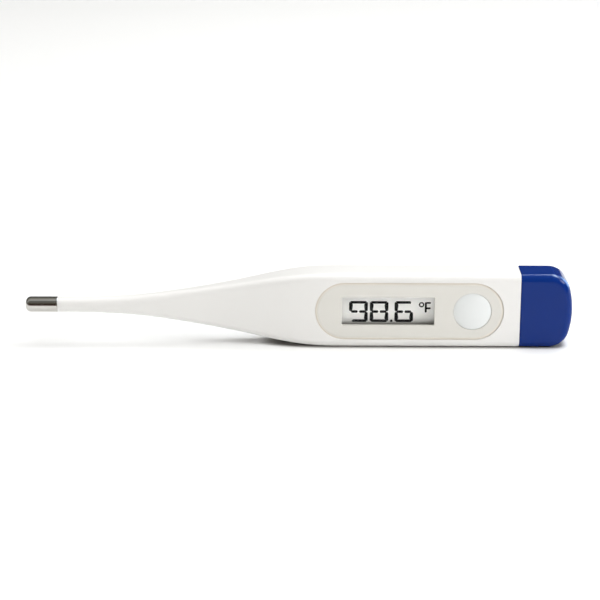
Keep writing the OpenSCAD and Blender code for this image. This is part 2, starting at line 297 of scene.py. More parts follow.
def panel_rim_painted_shade_and_highlight(mat):
    """Painted shade and highlight round the panel's edge: a warm darker line where the groove's shade falls, and a
    paler painted highlight line inside it along the bevel.
    """
    nt = mat.node_tree
    b = next(n for n in nt.nodes if n.type == "BSDF_PRINCIPLED")
    base = b.inputs["Base Color"].links[0].from_socket
    tc = nt.nodes.new("ShaderNodeTexCoord")
    sep = nt.nodes.new("ShaderNodeSeparateXYZ")
    nt.links.new(tc.outputs["Object"], sep.inputs[0])

    def mt(op, a, c=None, d=None, clamp=False):
        n = nt.nodes.new("ShaderNodeMath")
        n.operation, n.use_clamp = op, clamp
        for i, v in enumerate((a, c, d)):
            if v is None:
                continue
            if isinstance(v, (int, float)):
                n.inputs[i].default_value = v
            else:
                nt.links.new(v, n.inputs[i])
        return n.outputs[0]

    mid = P(PANEL_C, 0, 0)
    straight = (PANEL_L - PANEL_H) / 2 * MM
    dx = mt("MAXIMUM", mt("SUBTRACT", mt("ABSOLUTE", mt("SUBTRACT", sep.outputs["X"], mid[0])), straight), 0.0)
    dz = mt("SUBTRACT", sep.outputs["Z"], mid[2])
    r = mt("SQRT", mt("ADD", mt("MULTIPLY", dx, dx), mt("MULTIPLY", dz, dz)))
    k = mt("DIVIDE", r, PANEL_H / 2 * MM)
    ramp = nt.nodes.new("ShaderNodeValToRGB")
    el = ramp.color_ramp.elements
    while len(el) > 1:
        el.remove(el[-1])
    # Plain panel colour inside, then a paler painted highlight band on the bevel, then the darker painted shade of the
    # groove at the very edge.
    stops = [(0.0, (0.90, 0.90, 0.90)), (0.895, (0.90, 0.90, 0.90)), (0.918, (0.925, 0.915, 0.90)), (0.945, (0.955, 0.93, 0.895)),
             (0.957, (0.925, 0.89, 0.85)), (0.968, (0.87, 0.82, 0.77)), (1.0, (0.86, 0.81, 0.76))]
    el[0].position, el[0].color = stops[0][0], (*stops[0][1], 1)
    for p_, c_ in stops[1:]:
        q_ = el.new(p_)
        q_.color = (*c_, 1)
    nt.links.new(k, ramp.inputs["Fac"])
    mul = nt.nodes.new("ShaderNodeMix")
    mul.data_type, mul.blend_type = "RGBA", "MULTIPLY"
    mul.inputs["Factor"].default_value = 1.0
    nt.links.new(base, mul.inputs[6])
    nt.links.new(ramp.outputs["Color"], mul.inputs[7])
    gain = nt.nodes.new("ShaderNodeMix")
    gain.data_type, gain.blend_type = "RGBA", "MULTIPLY"
    gain.inputs["Factor"].default_value = 1.0
    gain.clamp_result = False
    nt.links.new(mul.outputs[2], gain.inputs[6])
    gain.inputs[7].default_value = (1 / 0.90, 1 / 0.90, 1 / 0.90, 1)
    nt.links.new(gain.outputs[2], b.inputs["Base Color"])


panel_rim_painted_shade_and_highlight(M["panel"])
M["button"] = plastic("button_plastic", lin(234, 237, 237), rough=0.36, vary=0.006, peel=0.0005)
M["blue"] = plastic("blue_abs", lin(13, 46, 121), rough=0.08, vary=0.03, scratch=0.06, peel=0.0005, peel_mm=0.8, fine=0.0001, spec=0.16)
M["tray"] = plastic("tray_plastic", lin(206, 208, 206), rough=0.45, vary=0.02, fine=0.0012, edge_mm=0.16)
M["lcdframe"] = plastic("lcd_frame_plastic", lin(225, 225, 221), rough=0.5, vary=0.02, fine=0.0012)
M["black"] = plastic("black_plastic", lin(26, 26, 28), rough=0.4, vary=0.1)
M["red"] = plastic("red_plastic", lin(176, 62, 44), rough=0.35, vary=0.04)
M["rubber"] = plastic("seal_rubber", lin(44, 44, 47), rough=0.7, vary=0.1, fine=0.002)
M["steel"] = metal("stainless_steel", lin(206, 203, 199), rough=0.16, along="X", grain=0.0004, tint=0.05)
M["brass"] = metal("brass", lin(214, 178, 98), rough=0.3, along="X", tint=0.12, spots=0.3)
M["nickel"] = metal("nickel_plate", lin(205, 204, 200), rough=0.22, along="N", tint=0.06, spots=0.1)
M["spring"] = metal("spring_steel", lin(210, 204, 190), rough=0.25, along="X", tint=0.08)
M["bronze"] = metal("phosphor_bronze", lin(205, 160, 96), rough=0.28, along="Y", tint=0.1)

# lens: clear plastic that passes light straight through, with a faint surface
m = Mat("clear_plastic")
tr = m.nt.nodes.new("ShaderNodeBsdfTransparent")
tr.inputs["Color"].default_value = (0.99, 0.99, 0.99, 1)
gl = m.nt.nodes.new("ShaderNodeBsdfGlossy")
gl.inputs["Roughness"].default_value = 0.05
fr = m.nt.nodes.new("ShaderNodeFresnel")
fr.inputs["IOR"].default_value = 1.45
m.link(m.bump(m.noise(2.5, 2, 0.5), 0.0006), gl.inputs["Normal"])
mx = m.nt.nodes.new("ShaderNodeMixShader")
m.link(m.math("MULTIPLY", fr.outputs[0], 0.22), mx.inputs[0])
m.link(tr.outputs[0], mx.inputs[1])
m.link(gl.outputs[0], mx.inputs[2])
m.link(mx.outputs[0], m.out.inputs[0])
m.nt.nodes.remove(m.b)
M["lens"] = m.m

m = Mat("lcd_glass")
m.put("Base Color", m.mix(m.noise(3.0), lin(196, 214, 208), lin(206, 222, 216))).put("Roughness", 0.06)
m.put("Transmission Weight", 0.85).put("IOR", 1.5)
m.put("Normal", m.bump(m.noise(1.2), 0.0002))
M["lcdglass"] = m.m


def polarizer():
    """Silver-grey face of the display with fine grain. Painted shade: it darkens towards the lower edge and into the
    lower right corner, where the recess round the display shades it; its upper part is painted near white and given a
    faint painted glow, cancelling the recess's shade from above."""
    m = Mat("polarizer_film")
    sep = m.nt.nodes.new("ShaderNodeSeparateXYZ")
    m.link(m.tc.outputs["Object"], sep.inputs[0])
    z = m.math("MULTIPLY_ADD", sep.outputs["Z"], 1 / MM, -ZC / MM)
    k = m.math("DIVIDE", m.math("SUBTRACT", z, -4.2), 7.2, clamp=True)
    x = m.math("MULTIPLY_ADD", sep.outputs["X"], 1 / MM, -X0 / MM)
    # Painted shade: dark at the bottom of the display, rising to near white at the top.
    painted_shade_tone = m.ramp(k, [(0.0, lin(96, 88, 80)), (0.05, lin(120, 115, 108)), (0.12, lin(176, 175, 171)), (0.19, lin(214, 214, 211)),
                      (0.30, lin(240, 240, 237)), (0.45, lin(250, 250, 247)), (1.0, lin(252, 252, 250))])
    # Painted shade in the lower right corner of the recess.
    right_corner_painted_shade = m.math("MULTIPLY", m.math("SUBTRACT", x, 88.0, clamp=False), 1 / 6.0, clamp=True)
    low = m.math("SUBTRACT", 1.0, m.math("MULTIPLY", k, 3.5), clamp=True)
    painted_shade_tone = m.mix(m.math("MULTIPLY", m.math("MULTIPLY", right_corner_painted_shade, low), 0.35), painted_shade_tone, lin(60, 52, 46))
    grain = m.noise(0.11, 3, 0.7)
    painted_shade_tone = m.mix(0.10, painted_shade_tone, m.ramp(grain, [(0.3, 0.25), (0.7, 0.95)]), "OVERLAY")
    m.put("Base Color", painted_shade_tone)
    m.put("Roughness", m.math("MULTIPLY_ADD", grain, 0.1, 0.45)).put("Normal", m.bump(grain, 0.0006))
    m.put("Specular IOR Level", 0.35)
    # Painted glow: a faint emission that lifts the display's face, though it is no lamp.
    m.put("Emission Color", painted_shade_tone).put("Emission Strength", 0.10)
    return m.m


M["polarizer"] = polarizer()
m = Mat("lcd_segment_ink")
m.put("Base Color", m.mix(m.noise(0.3), (0.003, 0.003, 0.0035), (0.006, 0.006, 0.0065))).put("Roughness", 0.6).put("Specular IOR Level", 0.05)
m.put("Normal", m.bump(m.noise(0.05), 0.0003))
M["segment"] = m.m


# ------------------------------------------------------------ mesh helpers
def new_obj(name, verts, faces, mat, sharp=32.0):
    me = bpy.data.meshes.new(name)
    me.from_pydata([tuple(v) for v in verts], [], faces)
    me.validate()
    o = bpy.data.objects.new(name, me)
    bpy.context.scene.collection.objects.link(o)
    if mat is not None:
        me.materials.append(mat)
    tidy(o, sharp)
    return o


def tidy(o, sharp=32.0):
    bm = bmesh.new()
    bm.from_mesh(o.data)
    bmesh.ops.delete(bm, geom=[v for v in bm.verts if not v.link_faces], context="VERTS")
    bmesh.ops.recalc_face_normals(bm, faces=bm.faces)
    lim = math.radians(sharp)
    for f in bm.faces:
        f.smooth = True
    for ed in bm.edges:
        ed.smooth = not (len(ed.link_faces) == 2 and ed.calc_face_angle(0) > lim)
    bm.to_mesh(o.data)
    bm.free()


def skin(rings, closed_ends=True):
    """Faces through a list of rings with the same number of points."""
    n, k = len(rings), len(rings[0])
    verts = [p for r in rings for p in r]
    faces = [(i * k + j, i * k + (j + 1) % k, (i + 1) * k + (j + 1) % k, (i + 1) * k + j)
             for i in range(n - 1) for j in range(k)]
    if closed_ends:
        faces.append(tuple(range(k - 1, -1, -1)))
        faces.append(tuple((n - 1) * k + j for j in range(k)))
    return verts, faces


def round_rect(w, t, r, n=12):
    """Outline in (y, z): t across y, w across z."""
    pts = []
    for q in range(4):
        cy = (t / 2 - r) * (1 if q in (0, 3) else -1)
        cz = (w / 2 - r) * (1 if q < 2 else -1)
        for i in range(n):
            an = math.radians(90 * q + 90 * i / (n - 1))
            pts.append((cy + r * math.cos(an), cz + r * math.sin(an)))
    return pts


def apply_mods(o):
    bpy.context.view_layer.update()
    dg = bpy.context.evaluated_depsgraph_get()
    me = bpy.data.meshes.new_from_object(o.evaluated_get(dg))
    old = o.data
    o.modifiers.clear()
    o.data = me
    bpy.data.meshes.remove(old)


def cut(o, tool, op="DIFFERENCE", keep=False):
    md = o.modifiers.new("b", "BOOLEAN")
    md.operation, md.solver, md.object = op, "EXACT", tool
    apply_mods(o)
    if not keep:
        me = tool.data
        bpy.data.objects.remove(tool)
        bpy.data.meshes.remove(me)


def bevel(o, width_mm, segments=2, angle=40.0, harden=False):
    md = o.modifiers.new("bv", "BEVEL")
    md.width, md.segments, md.limit_method = width_mm * MM, segments, "ANGLE"
    md.angle_limit = math.radians(angle)
    md.use_clamp_overlap = True
    md.miter_outer = "MITER_ARC"
    apply_mods(o)


def weigh(o):
    md = o.modifiers.new("wn", "WEIGHTED_NORMAL")
    md.keep_sharp = True
    md.mode = "FACE_AREA"
    md.weight = 60


def box_obj(name, lo, hi, mat=None, bev=0.0, seg=2):
    """Box between two (u, y, z) corners, with rounded edges."""
    (a0, b0, c0), (a1, b1, c1) = lo, hi
    v = [P(x, y, z) for x in (a0, a1) for y in (b0, b1) for z in (c0, c1)]
    f = [(0, 1, 3, 2), (4, 6, 7, 5), (0, 4, 5, 1), (2, 3, 7, 6), (0, 2, 6, 4), (1, 5, 7, 3)]
    o = new_obj(name, v, f, mat)
    if bev:
        bevel(o, bev, seg)
        tidy(o, 50)
        weigh(o)
    return o


def lathe(name, profile, mat, origin, axis="X", steps=96, sharp=32.0):
    """Turned piece. profile is (radius, along) in mm from end to end."""
    verts, faces, k = [], [], steps
    for r, s in profile:
        for i in range(k):
            an = 2 * math.pi * i / k
            c, d = r * math.cos(an), r * math.sin(an)
            off = {"X": (s, c, d), "Y": (c, s, d), "Z": (c, d, s)}[axis]
            verts.append(P(origin[0] + off[0], origin[1] + off[1], origin[2] + off[2]))
    n = len(profile)
    for i in range(n - 1):
        for j in range(k):
            faces.append((i * k + j, i * k + (j + 1) % k, (i + 1) * k + (j + 1) % k, (i + 1) * k + j))
    if profile[0][0] > 1e-6:
        faces.append(tuple(range(k - 1, -1, -1)))
    if profile[-1][0] > 1e-6:
        faces.append(tuple((n - 1) * k + j for j in range(k)))
    me = bpy.data.meshes.new(name)
    me.from_pydata([tuple(v) for v in verts], [], faces)
    bm = bmesh.new()
    bm.from_mesh(me)
    bmesh.ops.remove_doubles(bm, verts=bm.verts, dist=1e-8)
    bmesh.ops.dissolve_degenerate(bm, dist=1e-9, edges=bm.edges)
    bm.to_mesh(me)
    bm.free()
    o = bpy.data.objects.new(name, me)
    bpy.context.scene.collection.objects.link(o)
    if mat is not None:
        me.materials.append(mat)
    tidy(o, sharp)
    return o


def arc(cx, cy, r, a0, a1, n=8):
    return [(cx + r * math.cos(math.radians(a0 + (a1 - a0) * i / n)),
             cy + r * math.sin(math.radians(a0 + (a1 - a0) * i / n))) for i in range(n + 1)]


def slot_outline(c, length, h, grow=0.0, n=36):
    """Shape with round ends in (u, z), grown by an offset."""
    r = h / 2 + grow
    dx = (length - h) / 2
    return ([(c + dx + x, z) for x, z in arc(0, 0, r, -90, 90, n)]
            + [(c - dx + x, z) for x, z in arc(0, 0, r, 90, 270, n)])


def slab(name, outlines, mat, sharp=32.0):
    """Stack of (y, outline) layers, outline in (u, z)."""
    rings = [[P(u, y, z) for u, z in pts] for y, pts in outlines]
    return new_obj(name, *skin(rings), mat, sharp)


# ---------------------------------------------------------- stick outline
W_TABLE = ([0, 15, 20, 26, 31, 36, 41, 46, 51, 56, 60, 64, 68, 72, 200],
           [STEM_D, STEM_D, 4.0, 4.75, 5.9, 7.3, 8.8, 10.5, 12.3, 14.3, 15.75, 16.8, 17.4, 17.5, 17.5])


def grow(u):
    w = lambda x: float(np.interp(x, *W_TABLE))
    even = (w(u - 1.6) + 2 * w(u - 0.8) + 2 * w(u) + 2 * w(u + 0.8) + w(u + 1.6)) / 8
    return max((even - STEM_D) / (17.5 - STEM_D), 0)


def w_at(u):
    return STEM_D + (BODY_W - STEM_D) * grow(u)


def t_at(u):
    return STEM_D + (BODY_T - STEM_D) * grow(u) ** 1.6


def r_at(u):
    return STEM_D / 2 + (EDGE_R - STEM_D / 2) * min(1, 2.5 * grow(u))


def section(u, w, t, r, n=20):
    return [P(u, y, z) for y, z in round_rect(w, t, r, n)]


def tube_section(u, w, t, r, inset, n=20):
    return section(u, w - 2 * inset, t - 2 * inset, max(r - inset, 0.02), n)


# ---------------------------------------------------------------- housing
rings = [section(4.6, 2.8, 2.8, 1.4), section(4.7, 3.0, 3.0, 1.5), section(TIP_LEN - 0.02, 3.0, 3.0, 1.5)]
rb = 0.07
for k in range(6):
    th = math.radians(90 * k / 5)
    rings.append(tube_section(TIP_LEN + rb * (1 - math.cos(th)), STEM_D, STEM_D, STEM_D / 2, rb * (1 - math.sin(th))))
us = list(np.arange(TIP_LEN + 0.6, 74.0, 0.55)) + list(np.arange(76.0, SEAM - 2, 3.0)) + [SEAM - 1.0, SEAM - 0.4]
for u in us:
    rings.append(section(u, w_at(u), t_at(u), r_at(u)))
rb = 0.22
for k in range(7):
    th = math.radians(90 * k / 6)
    rings.append(tube_section(SEAM - rb + rb * math.sin(th), BODY_W, BODY_T, EDGE_R, rb * (1 - math.cos(th))))
housing = new_obj("housing_shell", *skin(rings), M["white"], 40)


def cavity_tool():
    rr = [section(3.5, 1.8, 1.8, 0.9, 8), section(29.9, 1.8, 1.8, 0.9, 8)]
    for i in range(24):
        u = 30 + 34 * i / 23
        rr.append(section(u, w_at(u) - 2.6, t_at(u) - 2.6, 0.45 + 0.45 * i / 23, 8))
    rr += [section(64.4, 14.9, 6.7, 0.8, 8), section(SEAM - 3.2, 14.9, 6.7, 0.8, 8),
           section(SEAM - 3.15, 16, 8, 1, 8), section(SEAM - 0.6, 16, 8, 1, 8),
           section(SEAM - 0.55, 16.6, 8.6, 1.2, 8), section(SEAM - 0.1, 16.6, 8.6, 1.2, 8),
           section(SEAM + 2, 17.0, 9.0, 1.3, 8)]
    rr[-2] = section(SEAM - 0.05, 16.62, 8.62, 1.2, 8)
    rr[-1] = section(SEAM + 2, 16.7, 8.7, 1.2, 8)
    return new_obj("tool", *skin(rr), None)


cut(housing, cavity_tool())


def lip_stack(out, y_face, depth_to, lip, gap, flare=0.5):
    """Layers of a recess tool whose mouth has a rounded lip."""
    lay = [(y_face - flare, out(gap + lip))]
    for k in range(6):
        th = math.radians(90 - 90 * k / 5)
        lay.append((y_face + lip - lip * math.sin(th), out(gap + lip - lip * math.cos(th))))
    lay.append((depth_to, out(gap)))
    return lay


cut(housing, slab("tool", lip_stack(lambda g: slot_outline(PANEL_C, PANEL_L, PANEL_H, g), FRONT, PANEL_B, 0.11, 0.02), None))
for pocket in (box_obj("tool", (WINDOW_C - 11.75, PANEL_B - 1, WINDOW_Z - 4.35), (WINDOW_C + 11.75, -2.0, WINDOW_Z + 4.35)),
               lathe("tool", [(5.25, PANEL_B - 1), (5.25, -2.0)], None, (BUTTON_C, 0, 0), "Y", 72)):
    cut(housing, pocket)
tidy(housing, 40)
weigh(housing)
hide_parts("housing")
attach(housing, "housing")

# ------------------------------------------------------------- face panel
BEV_W, BEV_D = 0.72, 0.14
edge = lambda g: slot_outline(PANEL_C, PANEL_L, PANEL_H, g)
lay = [(PANEL_B, edge(0)), (PANEL_F + BEV_D + 0.10, edge(0))]
for k in range(1, 6):
    th = math.radians(18 * k)
    lay.append((PANEL_F + BEV_D + 0.10 - 0.08 * math.sin(th), edge(-0.08 * (1 - math.cos(th)))))
lay += [(PANEL_F + 0.012, edge(-BEV_W + 0.05)), (PANEL_F + 0.003, edge(-BEV_W)), (PANEL_F, edge(-BEV_W - 0.05))]
panel = slab("face_plate", lay, M["panel"], 60)


def rect_outline(c, cz, w, h, r, g=0.0, n=8):
    w, h, r = w + 2 * g, h + 2 * g, max(r + g, 0.01)
    pts = []
    for q, (sx, sz) in enumerate(((1, -1), (1, 1), (-1, 1), (-1, -1))):
        cx, cy = c + sx * (w / 2 - r), cz + sz * (h / 2 - r)
        pts += arc(cx, cy, r, -90 + 90 * q, 90 * q, n)
    return pts


cut(panel, slab("tool", lip_stack(lambda g: rect_outline(WINDOW_C, WINDOW_Z, WINDOW_L, WINDOW_H, 0.28, g), PANEL_F, PANEL_B + 0.5, 0.07, 0.0), None))
cut(panel, lathe("tool", [(4.43, PANEL_F - 0.5)] +
                 [(4.39 + 0.04 - 0.04 * math.cos(math.radians(90 - 15 * k)), PANEL_F + 0.04 - 0.04 * math.sin(math.radians(90 - 15 * k))) for k in range(7)] +
                 [(4.39, PANEL_B + 0.5)], None, (BUTTON_C, 0, 0), "Y", 128))
tidy(panel, 40)
weigh(panel)
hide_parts("face_panel")
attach(panel, "housing")

# ----------------------------------------------------------------- button
R_B, SAG = 4.35, 0.66
prof = [(0.0, BUTTON_TOP)]
for k in range(1, 34):
    r = (R_B - 0.10) * k / 33
    prof.append((r, BUTTON_TOP + SAG * (0.75 * (r / R_B) ** 2 + 0.25 * (r / R_B) ** 4)))
y_edge = prof[-1][1]
for k in range(1, 7):
    th = math.radians(20 + 70 * k / 6)
    prof.append((R_B - 0.10 + 0.10 * (math.sin(th) - math.sin(math.radians(20))) / (1 - math.sin(math.radians(20))),
                 y_edge + 0.09 * (math.cos(math.radians(20)) - math.cos(th)) / math.cos(math.radians(20))))
prof += [(R_B, PANEL_B), (5.1, PANEL_B), (5.1, PANEL_B + 0.5), (1.2, PANEL_B + 0.5), (1.2, -3.18), (1.15, -3.13), (0.0, -3.13)]
button = lathe("button_cap", prof, M["button"], (BUTTON_C, 0, 0), "Y", 128, 40)
weigh(button)
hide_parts("power_button")
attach(button, "button")

# -------------------------------------------------------------------- cap
CAP_R, BULGE = 4.7, 20.0


def cap_outline(d, n=16):
    zc = BODY_W / 2 - CAP_R
    xe = LEN - BULGE
    xc = xe + math.sqrt((BULGE - CAP_R) ** 2 - zc * zc)
    an = math.degrees(math.atan2(zc, xc - xe))
    pts = [(SEAM, -BODY_W / 2 + d)]
    pts += [(SEAM + (xc - SEAM) * f, -BODY_W / 2 + d) for f in (0.05, 0.35, 0.7)]
    pts += [(xc + x, -zc + z) for x, z in arc(0, 0, CAP_R - d, -90, -an, n)]
    pts += [(xe + x, z) for x, z in arc(0, 0, BULGE - d, -an, an, 24)[1:-1]]
    pts += [(xc + x, zc + z) for x, z in arc(0, 0, CAP_R - d, an, 90, n)]
    pts += [(SEAM + (xc - SEAM) * f, BODY_W / 2 - d) for f in (0.7, 0.35, 0.05)]
    pts.append((SEAM, BODY_W / 2 - d))
    return pts


lay = []
for sgn in (-1, 1):
    half = []
    for k in range(13):
        th = math.radians(90 * k / 12)
        half.append((sgn * (BODY_T / 2 - EDGE_R + EDGE_R * math.cos(th)), cap_outline(EDGE_R * (1 - math.sin(th)))))
    lay += half if sgn < 0 else half[::-1]
cap = slab("cap_shell", lay, M["blue"], 40)
bm = bmesh.new()
bm.from_mesh(cap.data)
xs = P(SEAM, 0, 0).x
flat = [f for f in bm.faces if all(abs(v.co.x - xs) < 1e-7 for v in f.verts)]
inner = [ed for ed in bm.edges if len([f for f in ed.link_faces if f in flat]) == 2]
bmesh.ops.dissolve_edges(bm, edges=inner, use_verts=False)
rim = [ed for ed in bm.edges if all(abs(v.co.x - xs) < 1e-7 for v in ed.verts)]
bmesh.ops.bevel(bm, geom=rim, offset=0.30 * MM, segments=4, profile=0.5, affect="EDGES")
bm.to_mesh(cap.data)
bm.free()
spig = [tube_section(SEAM - 3.1, 15.9, 7.9, 0.95, 0.15), tube_section(SEAM - 2.9, 15.9, 7.9, 0.95, 0), tube_section(SEAM + 0.2, 15.9, 7.9, 0.95, 0)]
cut(cap, new_obj("tool", *skin(spig), None), "UNION")
cut(cap, new_obj("tool", *skin([section(SEAM - 5, 14.6, 6.6, 0.8), section(SEAM + 8.9, 14.6, 6.6, 0.8)]), None))
rib = box_obj("tool", (SEAM + 6.4, -3.4, -1.5), (SEAM + 9.4, 1.8, 1.5), None, 0.15)
cut(cap, rib, "UNION")
cap.data.materials.clear()
cap.data.materials.append(M["blue"])
tidy(cap, 40)
weigh(cap)
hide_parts("battery_cap")
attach(cap, "cap")

# ------------------------------------------------------------- steel tip
NOSE = 1.3
R_T = STEM_D / 2
prof = [(0.0, 0.0)] + [(R_T - NOSE + x, NOSE - z) for x, z in arc(0, 0, NOSE, 90, 0, 14)]
prof += [(R_T, TIP_LEN - 0.06), (R_T - 0.04, TIP_LEN - 0.01), (R_T - 0.1, TIP_LEN), (1.5, TIP_LEN), (1.5, NOSE)]
prof += [(R_T - NOSE + x, NOSE - z) for x, z in arc(0, 0, NOSE - 0.25, 0, 90, 10)] + [(0.0, 0.25)]
tip = lathe("steel_tip", prof, M["steel"], (0, 0, 0), "X", 128, 50)
weigh(tip)
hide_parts("probe_tip")
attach(tip, "housing")

# ---------------------------------------------------------------- display
pane = box_obj("display_lens", (WINDOW_C - 11.7, PANEL_B, WINDOW_Z - 4.3), (WINDOW_C + 11.7, PANEL_B + 0.5, WINDOW_Z + 4.3), M["lens"], 0.05, 1)
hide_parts("display_window")
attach(pane, "housing")

glass_a = box_obj("lcd_glass_front", (70.9, -2.6, -5.9), (96.1, -2.1, 5.0), M["lcdglass"], 0.03, 1)
glass_b = box_obj("lcd_glass_rear", (70.9, -2.1, -4.6), (96.1, -1.6, 5.0), M["lcdglass"], 0.03, 1)
film = box_obj("lcd_polarizer", (71.6, -2.72, -4.4), (95.4, -2.6, 4.8), M["polarizer"], 0.02, 1)
for o, n in ((glass_a, "lcd_front_glass"), (glass_b, "lcd_rear_glass"), (film, "lcd_front_polarizer")):
    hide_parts(n)
    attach(o, "tray")

# Segments of the reading, as thin printed shapes on the display's face.
SEG_Y0, SEG_Y1 = -2.725, -2.735
SLANT = 0.0


def seg_plate(name, shapes, mat=None):
    """One mesh of thin flat plates; shapes are outlines in (u, z)."""
    verts, faces = [], []
    for pts in shapes:
        n0, k = len(verts), len(pts)
        verts += [P(u, SEG_Y1, z) for u, z in pts] + [P(u, SEG_Y0 + 0.01, z) for u, z in pts]
        faces.append(tuple(range(n0, n0 + k)))
        faces.append(tuple(range(n0 + 2 * k - 1, n0 + k - 1, -1)))
        faces += [(n0 + i, n0 + k + i, n0 + k + (i + 1) % k, n0 + (i + 1) % k) for i in range(k)]
    o = new_obj(name, verts, faces, mat or M["segment"])
    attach(o, "tray")
    return o


def rounded(pts, r, n=4):
    """Polygon with its corners rounded by r."""
    out, k = [], len(pts)
    for i in range(k):
        p0, p1, p2 = (Vector(pts[i - 1]), Vector(pts[i]), Vector(pts[(i + 1) % k]))
        d0, d2 = (p0 - p1), (p2 - p1)
        rr = min(r, d0.length * 0.45, d2.length * 0.45)
        s0, s2 = p1 + d0.normalized() * rr, p1 + d2.normalized() * rr
        for j in range(n + 1):
            f = j / n
            out.append(tuple((1 - f) ** 2 * s0 + 2 * f * (1 - f) * p1 + f * f * s2))
    return out


def digit(x0, x1, zt, zb, zm, on):
    """Seven-segment figure between x0..x1 and zb..zt, middle bar at zm."""
    v, h, g = 0.95, 0.64, 0.03
    s = []
    if "a" in on:
        e = 0.0 if "b" in on else 0.22
        s.append(rounded([(x0 + 0.46, zt - 0.02), (x1 - 0.46 - e, zt - 0.02), (x1 - 0.30 - e, zt - 0.16 - e), (x1 - 0.62 + 0.3 * e, zt - h), (x0 + 0.62, zt - h), (x0 + 0.30, zt - 0.16)], 0.12))
    if "d" in on:
        lead = 0.0 if "e" in on else 0.36
        s.append(rounded([(x0 + 0.62 + lead, zb + h), (x1 - 0.62, zb + h), (x1 - 0.30, zb + 0.16), (x1 - 0.46, zb), (x0 + 0.46 + lead, zb), (x0 + 0.30 + lead * 0.9, zb + 0.16 + 0.4 * lead)], 0.12))
    if "g" in on:
        mid, q = (x0 + x1) / 2, 0.31
        for a0, a1 in ((x0 + 0.42, mid - 0.12), (mid + 0.12, x1 - 0.42)):
            s.append(rounded([(a0, zm), (a0 + 0.22, zm + q), (a1 - 0.22, zm + q), (a1, zm), (a1 - 0.22, zm - q), (a0 + 0.22, zm - q)], 0.09))
    for key, xa, dirn, za, zz in (("f", x0, 1, zt, zm), ("b", x1, -1, zt, zm), ("e", x0, 1, zb, zm), ("c", x1, -1, zb, zm)):
        if key not in on:
            continue
        up_ = 1 if za > zz else -1
        p = [(xa, za - up_ * 0.42), (xa + dirn * 0.24, za - up_ * 0.20), (xa + dirn * 0.78, za - up_ * (h + g)), (xa + dirn * 0.90, za - up_ * 0.95),
             (xa + dirn * 0.76, zz + up_ * 0.40), (xa + dirn * 0.52, zz + up_ * 0.06), (xa + dirn * 0.14, zz + up_ * 0.12), (xa + dirn * 0.02, zz + up_ * 0.40)]
        s.append(rounded(p, 0.14))
    return s


ZT, ZB, ZM = 1.90, -3.17, -0.65
shapes = digit(74.62, 78.98, ZT, ZB, ZM, "abcdfg")
shapes += digit(79.40, 83.70, ZT, ZB, ZM, "abcdefg")
shapes += digit(85.10, 89.42, ZT, ZB, ZM, "acdefg")
seg_plate("reading_digits", shapes)
dot = [[(84.40 + x, -2.88 + z) for x, z in arc(0, 0, 0.31, 0, 345, 23)]]
seg_plate("reading_point", dot)


def stroke_ring(cx, cz, ro, ri, n=32):
    verts, faces = [], []
    for y in (SEG_Y1, SEG_Y0 + 0.01):
        for r in (ro, ri):
            verts += [P(cx + r * math.cos(2 * math.pi * i / n), y, cz + r * math.sin(2 * math.pi * i / n)) for i in range(n)]
    for i in range(n):
        j = (i + 1) % n
        faces += [(i, j, n + j, n + i), (2 * n + i, 3 * n + i, 3 * n + j, 2 * n + j),
                  (i, 2 * n + i, 2 * n + j, j), (n + i, n + j, 3 * n + j, 3 * n + i)]
    o = new_obj("reading_degree", verts, faces, M["segment"])
    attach(o, "tray")
    return o


stroke_ring(91.31, 1.04, 0.64, 0.33)
F0, F1, FT, FB = 92.07, 93.45, 1.68, -0.82
seg_plate("reading_unit", [
    rounded([(F0, FT - 0.1), (F0 + 0.12, FT), (F0 + 0.47, FT - 0.30), (F0 + 0.47, FB + 0.1), (F0 + 0.23, FB - 0.04), (F0, FB + 0.1)], 0.07),
    rounded([(F0 + 0.24, FT + 0.02), (F1 - 0.08, FT + 0.02), (F1 + 0.04, FT - 0.16), (F1 - 0.08, FT - 0.41), (F0 + 0.52, FT - 0.41)], 0.08),
    rounded([(F0 + 0.46, 0.40), (F1 - 0.10, 0.40), (F1 + 0.02, 0.18), (F1 - 0.10, -0.04), (F0 + 0.46, -0.04)], 0.08)])

# ------------------------------------------------- thermistor leads (two wires)
LEAD_PTS = [(2.2, 0, 0, 0, 0.3), (10, 0, 0, 0, 0.3), (20, 0, 0, 0, 0.3), (30, 0, 0, 0, 0.3), (40, 0, 0, 0, 0.3),
            (46, 0, 0, 0.1, 0.25), (50, 0, 0.6, 0.2, 0), (53, 0, 2.6, 0.2, 0), (55.4, 0, 4.8, 0.2, 0),
            (57.8, 0, 5.4, 0.2, 0), (59.3, 0, 4, 0.2, 0), (59.6, 0, 1.2, 0.2, 0), (59.6, 0, -1.8, 0.2, 0),
            (60, 0, -4.4, 0.2, 0), (61.4, -0.2, -5.5, 0.2, 0.1), (63.2, -0.8, -5.4, 0.1, 0.3),
            (65, -1.3, -4.8, 0, 0.4), (66.6, -1.07, -4, 0, 0.4), (68.6, -1.03, -4, 0, 0.4)]


def catmull(p, i, f):
    a, b, c, d = (Vector(p[max(i - 1, 0)]), Vector(p[i]), Vector(p[i + 1]), Vector(p[min(i + 2, len(p) - 1)]))
    return 0.5 * (2 * b + (c - a) * f + (2 * a - 5 * b + 4 * c - d) * f * f + (3 * b - a - 3 * c + d) * f ** 3)


